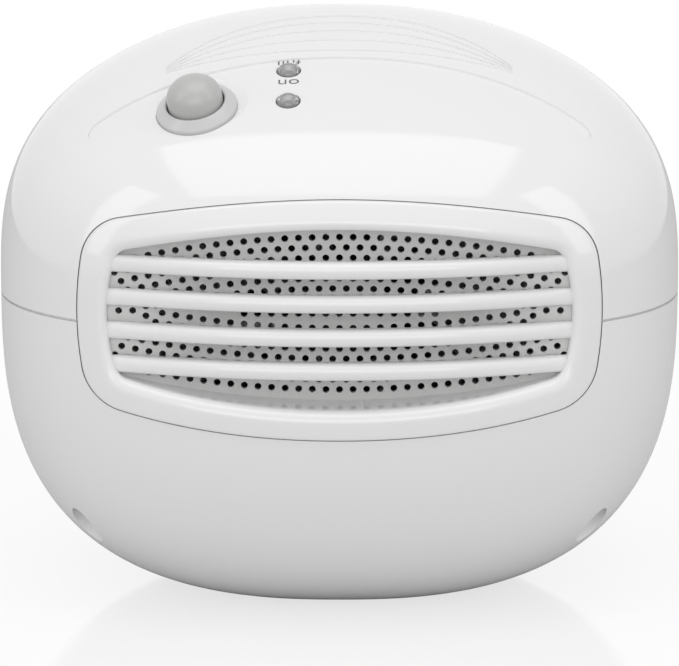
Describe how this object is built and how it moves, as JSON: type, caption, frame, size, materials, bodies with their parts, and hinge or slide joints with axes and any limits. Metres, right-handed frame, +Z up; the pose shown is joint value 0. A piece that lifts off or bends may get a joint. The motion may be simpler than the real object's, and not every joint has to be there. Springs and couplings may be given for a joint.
{
  "type": "dehumidifier",
  "caption": "Compact pebble-shaped thermoelectric dehumidifier with a rear exhaust grille, a front intake, a pull-out water tank and a push button beside two status lamps.",
  "frame": {"origin": "middle of the footprint, on the surface that the feet stand on", "axes": "+X to the right seen from the tank side, +Y from the tank side towards the exhaust grille, +Z up"},
  "size_m": [0.155, 0.1143, 0.1306],
  "materials": {
    "case_white": "glossy",
    "guard_grey": "satin",
    "bezel_grey": "satin",
    "button_grey": "satin",
    "inner_black": "matte",
    "inner_white": "matte",
    "lamp_clear": "clear",
    "board_green": "satin",
    "screw_steel": "satin",
    "sink_aluminium": "satin",
    "ceramic_white": "matte",
    "foam_grey": "matte",
    "foam_white": "matte",
    "tank_smoke": "translucent",
    "tank_smoke_clear": "clear",
    "tank_lid_grey": "satin",
    "magnet_grey": "satin",
    "foot_rubber": "matte"
  },
  "bodies": {
    "case": {"upper_housing": "case_white", "lower_housing": "case_white", "rear_grille": "case_white", "perforated_guard": "guard_grey", "button_bezel": "bezel_grey", "push_switch": "inner_black", "switch_holder": "inner_white", "led_on": "lamp_clear", "led_full": "lamp_clear", "control_board": "board_green", "board_screws": "screw_steel", "fan_frame": "inner_black", "fan_screws": "screw_steel", "hot_heatsink": "sink_aluminium", "cold_heatsink": "sink_aluminium", "cooler_module": "ceramic_white", "foam_gasket": "foam_grey", "heatsink_screws": "screw_steel", "chassis": "inner_white", "drip_tray": "inner_white", "reed_switch": "inner_black", "power_socket": "inner_black", "housing_screws": "screw_steel", "feet": "foot_rubber"},
    "button": {"button_cap": "button_grey", "switch_plunger": "inner_black"},
    "fan": {"fan_rotor": "inner_black"},
    "tank": {"water_tank": "tank_smoke", "tank_lid": "tank_lid_grey", "tank_front": "case_white", "level_window": "tank_smoke_clear"},
    "float": {"tank_float": "foam_white", "float_magnet": "magnet_grey"}
  },
  "joints": [
    {"name": "button_press", "type": "slide", "parent": "case", "child": "button", "axis": [-0.1544, -0.4597, -0.8745], "range_m": [0, 0.0022], "stiffness_N_per_m": 600},
    {"name": "fan_spin", "type": "hinge", "parent": "case", "child": "fan", "pos_m": [0, 0.0268, 0.0697], "axis": [0, 1, 0], "continuous": true},
    {"name": "tank_slide", "type": "slide", "parent": "case", "child": "tank", "axis": [0, -1, 0], "range_m": [0, 0.09]},
    {"name": "float_rise", "type": "slide", "parent": "tank", "child": "float", "axis": [0, 0, 1], "range_m": [0, 0.017]}
  ]
}
